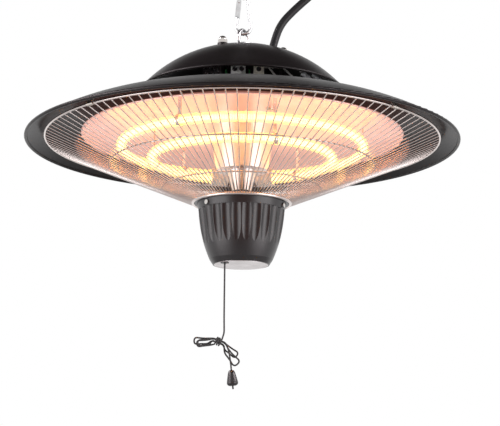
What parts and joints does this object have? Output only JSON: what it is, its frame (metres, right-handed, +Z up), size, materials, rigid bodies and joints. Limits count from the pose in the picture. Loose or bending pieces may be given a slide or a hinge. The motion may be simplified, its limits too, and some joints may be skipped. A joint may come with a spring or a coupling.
{
  "type": "ceiling-hung electric patio heater",
  "caption": "Round ceiling-hung electric patio heater on a chain, with glowing ring tubes, a wire guard, a domed cap, a fluted cup, a pull cord and a mains cord.",
  "frame": {"origin": "middle of the ceiling plate's face against the ceiling", "axes": "+Z up into the ceiling, +X to the right in the picture, +Y away from the viewer"},
  "size_m": [0.4244, 0.4244, 0.5756],
  "materials": {
    "galvanised": "satin zinc plate",
    "white_plate": "satin",
    "black_enamel": "satin",
    "black_plastic": "gloss",
    "black_rubber": "satin",
    "tie_plastic": "satin",
    "pull_cord_fabric": "matte",
    "polished_aluminium": "bright",
    "bright_chrome": "bright",
    "quartz_glass": "clear",
    "heating_wire": "glowing",
    "white_ceramic": "matte",
    "beige_plastic": "satin",
    "brass": "satin",
    "lead_insulation": "satin",
    "green_insulation": "satin",
    "grey_insulation": "matte",
    "clear_sleeve": "matte"
  },
  "bodies": {
    "ceiling": {"ceiling_plate": "white_plate", "ceiling_eye": "galvanised"},
    "chain": {"chain_links": "galvanised", "snap_hook": "galvanised", "gate_pin": "galvanised", "power_cord_coil": "black_rubber", "power_cord_end": "black_rubber", "cord_tie": "tie_plastic", "plug_body": "black_rubber", "plug_pins": "brass"},
    "gate": {"snap_hook_gate": "galvanised"},
    "heater": {"block_leads": "lead_insulation", "cap_nuts": "galvanised", "cap_posts": "galvanised", "centre_rod": "galvanised", "centre_tube": "bright_chrome", "chassis_plate": "galvanised", "cord_bush": "black_plastic", "cord_gland": "black_rubber", "cup": "black_plastic", "cup_disc": "galvanised", "cup_lid": "black_plastic", "cup_screws": "galvanised", "earth_leads": "green_insulation", "element_block": "beige_plastic", "element_leads": "grey_insulation", "eye_washer": "galvanised", "filaments": "heating_wire", "gland_nut": "galvanised", "guard_clips": "galvanised", "guard_rings": "bright_chrome", "guard_wires": "bright_chrome", "hanging_eye": "galvanised", "hood": "black_enamel", "hub_cone": "bright_chrome", "inner_tube": "quartz_glass", "lead_sleeves": "clear_sleeve", "mains_block": "white_ceramic", "outer_tube": "quartz_glass", "power_cord": "black_rubber", "power_cord_tail": "black_rubber", "reflector": "polished_aluminium", "reflector_screws": "galvanised", "reflector_spacers": "galvanised", "rod_nuts": "galvanised", "stud_nuts": "galvanised", "studs": "galvanised", "switch_body": "beige_plastic", "terminal_bracket": "galvanised", "terminal_screws": "brass", "top_cap": "black_enamel", "tube_caps": "white_ceramic", "tube_clips": "galvanised"},
    "pull_cord": {"pull_cord": "pull_cord_fabric", "pull_cord_hank": "pull_cord_fabric", "pull_cord_tail": "pull_cord_fabric", "toggle": "black_plastic"},
    "switch_rotor": {"switch_pulley": "black_plastic", "switch_axle": "black_plastic"}
  },
  "joints": [
    {"name": "chain_swing", "type": "hinge", "parent": "ceiling", "child": "chain", "pos_m": [0, 0, -0.031], "axis": [0, 1, 0], "range_deg": [-10, 10]},
    {"name": "heater_swing", "type": "hinge", "parent": "chain", "child": "heater", "pos_m": [0, 0, -0.2223], "axis": [1, 0, 0], "range_deg": [-12, 12], "deforming": ["power_cord"]},
    {"name": "gate_turn", "type": "hinge", "parent": "chain", "child": "gate", "pos_m": [-0.0046, 0, -0.18884], "axis": [0, -1, 0], "range_deg": [0, 25], "stiffness_Nm_per_rad": 0.005, "springref_deg": -20.05},
    {"name": "cord_pull", "type": "slide", "parent": "heater", "child": "pull_cord", "axis": [0, 0, -1], "range_m": [0, 0.01], "stiffness_N_per_m": 120, "springref_m": -0.01},
    {"name": "switch_turn", "type": "hinge", "parent": "heater", "child": "switch_rotor", "pos_m": [-0.0075, -0.015, -0.432], "axis": [0, -1, 0], "range_deg": [0, 72]}
  ],
  "couplings": [
    {"joint": "switch_turn", "follows": "cord_pull", "rad_per_m": 125}
  ]
}
